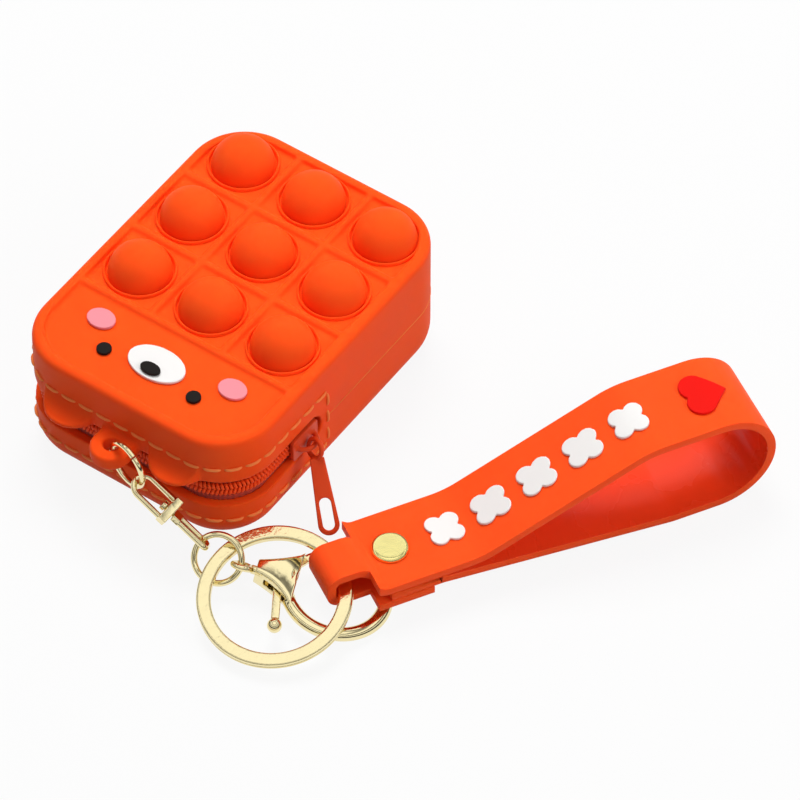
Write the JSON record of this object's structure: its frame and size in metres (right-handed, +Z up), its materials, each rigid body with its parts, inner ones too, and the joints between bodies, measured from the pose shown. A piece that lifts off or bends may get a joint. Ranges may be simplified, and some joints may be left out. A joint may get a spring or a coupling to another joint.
{
  "type": "squeeze coin purse",
  "caption": "Soft moulded zip purse with rows of press bubbles, ear scoops and a face, on a ring chain with a swivel, flat key ring, trigger clasp and riveted wrist strap.",
  "frame": {"origin": "centre of the purse's flat underside", "axes": "+X to the right along the front, +Y to the back, +Z up"},
  "size_m": [0.1278, 0.1053, 0.0352],
  "materials": {
    "body_silicone": "matte",
    "zip_tape": "woven",
    "zip_teeth": "satin",
    "zip_hardware": "satin",
    "muzzle_white": "matte",
    "cheek_pink": "matte",
    "face_black": "matte",
    "strap_silicone": "satin",
    "motif_white": "matte",
    "heart_red": "matte",
    "gold_metal": "polished"
  },
  "bodies": {
    "base": {"base_shell": "body_silicone", "rear_hinge_web": "body_silicone", "zip_tape_lower": "zip_tape", "zip_teeth_lower": "zip_teeth", "zip_end_stop": "zip_hardware"},
    "lid": {"lid_shell": "body_silicone", "zip_tape_upper": "zip_tape", "zip_teeth_upper": "zip_teeth", "face_muzzle": "muzzle_white", "face_cheeks": "cheek_pink", "face_eyes": "face_black", "face_nose": "face_black"},
    "slider": {"zip_slider": "zip_hardware"},
    "pull": {"zip_pull": "zip_hardware"},
    "lug_ring": {"lug_ring": "gold_metal"},
    "swivel_upper": {"swivel_upper_link": "gold_metal"},
    "swivel_lower": {"swivel_lower_link": "gold_metal", "swivel_pin": "gold_metal"},
    "joint_ring": {"joint_ring": "gold_metal"},
    "key_ring": {"key_ring": "gold_metal"},
    "clasp_eye": {"clasp_eye": "gold_metal"},
    "clasp": {"clasp_body": "gold_metal", "clasp_pin": "gold_metal"},
    "gate": {"clasp_gate": "gold_metal"},
    "strap": {"wrist_strap": "strap_silicone", "rivet_cap": "gold_metal", "rivet_back": "gold_metal", "strap_motifs": "motif_white", "strap_heart": "heart_red"},
    "bubble_1": {"bubble_1": "body_silicone"},
    "bubble_2": {"bubble_2": "body_silicone"},
    "bubble_3": {"bubble_3": "body_silicone"},
    "bubble_4": {"bubble_4": "body_silicone"},
    "bubble_5": {"bubble_5": "body_silicone"},
    "bubble_6": {"bubble_6": "body_silicone"},
    "bubble_7": {"bubble_7": "body_silicone"},
    "bubble_8": {"bubble_8": "body_silicone"},
    "bubble_9": {"bubble_9": "body_silicone"}
  },
  "joints": [
    {"name": "lid_open", "type": "hinge", "parent": "base", "child": "lid", "pos_m": [0, 0.0365, 0.015], "axis": [-1, 0, 0], "range_deg": [0, 14], "deforming": ["rear_hinge_web"]},
    {"name": "slider_run", "type": "slide", "parent": "base", "child": "slider", "axis": [0, -1, 0], "range_m": [0, 0.006], "deforming": ["zip_teeth_upper", "zip_teeth_lower"]},
    {"name": "pull_swing", "type": "hinge", "parent": "slider", "child": "pull", "pos_m": [0.0293, -0.014, 0.015], "axis": [0, 1, 0], "range_deg": [-20, 8]},
    {"name": "lug_ring_swing", "type": "hinge", "parent": "lid", "child": "lug_ring", "pos_m": [0, -0.0397, 0.0189], "axis": [0, 0, 1], "range_deg": [-60, 0]},
    {"name": "swivel_tilt", "type": "hinge", "parent": "lug_ring", "child": "swivel_upper", "pos_m": [0.00863, -0.04201, 0.01652], "axis": [0.5006, -0.1341, 0.8552], "range_deg": [-45, 8]},
    {"name": "swivel_turn", "type": "hinge", "parent": "swivel_upper", "child": "swivel_lower", "pos_m": [0.00747, -0.0417, 0.01724], "axis": [0.8637, 0.01, -0.5039], "range_deg": [-12, 45]},
    {"name": "joint_ring_swing", "type": "hinge", "parent": "swivel_lower", "child": "joint_ring", "pos_m": [0.02348, -0.04152, 0.0079], "axis": [-0.3651, 0.7017, -0.6118], "range_deg": [-25, 45]},
    {"name": "key_ring_swing", "type": "hinge", "parent": "joint_ring", "child": "key_ring", "pos_m": [0.02674, -0.04185, 0.00657], "axis": [0.0657, 0.9758, 0.2086], "range_deg": [-12, 0]},
    {"name": "strap_swing", "type": "hinge", "parent": "key_ring", "child": "strap", "pos_m": [0.04805, -0.03161, 0.00783], "axis": [-0.8207, 0.5497, 0.1561], "range_deg": [-30, 0]},
    {"name": "clasp_eye_swing", "type": "hinge", "parent": "joint_ring", "child": "clasp_eye", "pos_m": [0.031, -0.04071, 0.00643], "axis": [-0.1407, 0.6769, 0.7225], "range_deg": [0, 50]},
    {"name": "clasp_turn", "type": "hinge", "parent": "clasp_eye", "child": "clasp", "pos_m": [0.02955, -0.04109, 0.00649], "axis": [0.9107, 0.3748, -0.1737], "range_deg": [-1.5, 1.5]},
    {"name": "gate_open", "type": "hinge", "parent": "clasp", "child": "gate", "pos_m": [0.03761, -0.03777, 0.00495], "axis": [0.1606, 0.0661, 0.9848], "range_deg": [-12, 0], "stiffness_Nm_per_rad": 0.05, "springref_deg": 5.73},
    {"name": "bubble_1_press", "type": "slide", "parent": "lid", "child": "bubble_1", "axis": [0, 0, -1], "range_m": [0, 0.0124]},
    {"name": "bubble_2_press", "type": "slide", "parent": "lid", "child": "bubble_2", "axis": [0, 0, -1], "range_m": [0, 0.0124]},
    {"name": "bubble_3_press", "type": "slide", "parent": "lid", "child": "bubble_3", "axis": [0, 0, -1], "range_m": [0, 0.0124]},
    {"name": "bubble_4_press", "type": "slide", "parent": "lid", "child": "bubble_4", "axis": [0, 0, -1], "range_m": [0, 0.0124]},
    {"name": "bubble_5_press", "type": "slide", "parent": "lid", "child": "bubble_5", "axis": [0, 0, -1], "range_m": [0, 0.0124]},
    {"name": "bubble_6_press", "type": "slide", "parent": "lid", "child": "bubble_6", "axis": [0, 0, -1], "range_m": [0, 0.0124]},
    {"name": "bubble_7_press", "type": "slide", "parent": "lid", "child": "bubble_7", "axis": [0, 0, -1], "range_m": [0, 0.0124]},
    {"name": "bubble_8_press", "type": "slide", "parent": "lid", "child": "bubble_8", "axis": [0, 0, -1], "range_m": [0, 0.0124]},
    {"name": "bubble_9_press", "type": "slide", "parent": "lid", "child": "bubble_9", "axis": [0, 0, -1], "range_m": [0, 0.0124]}
  ]
}
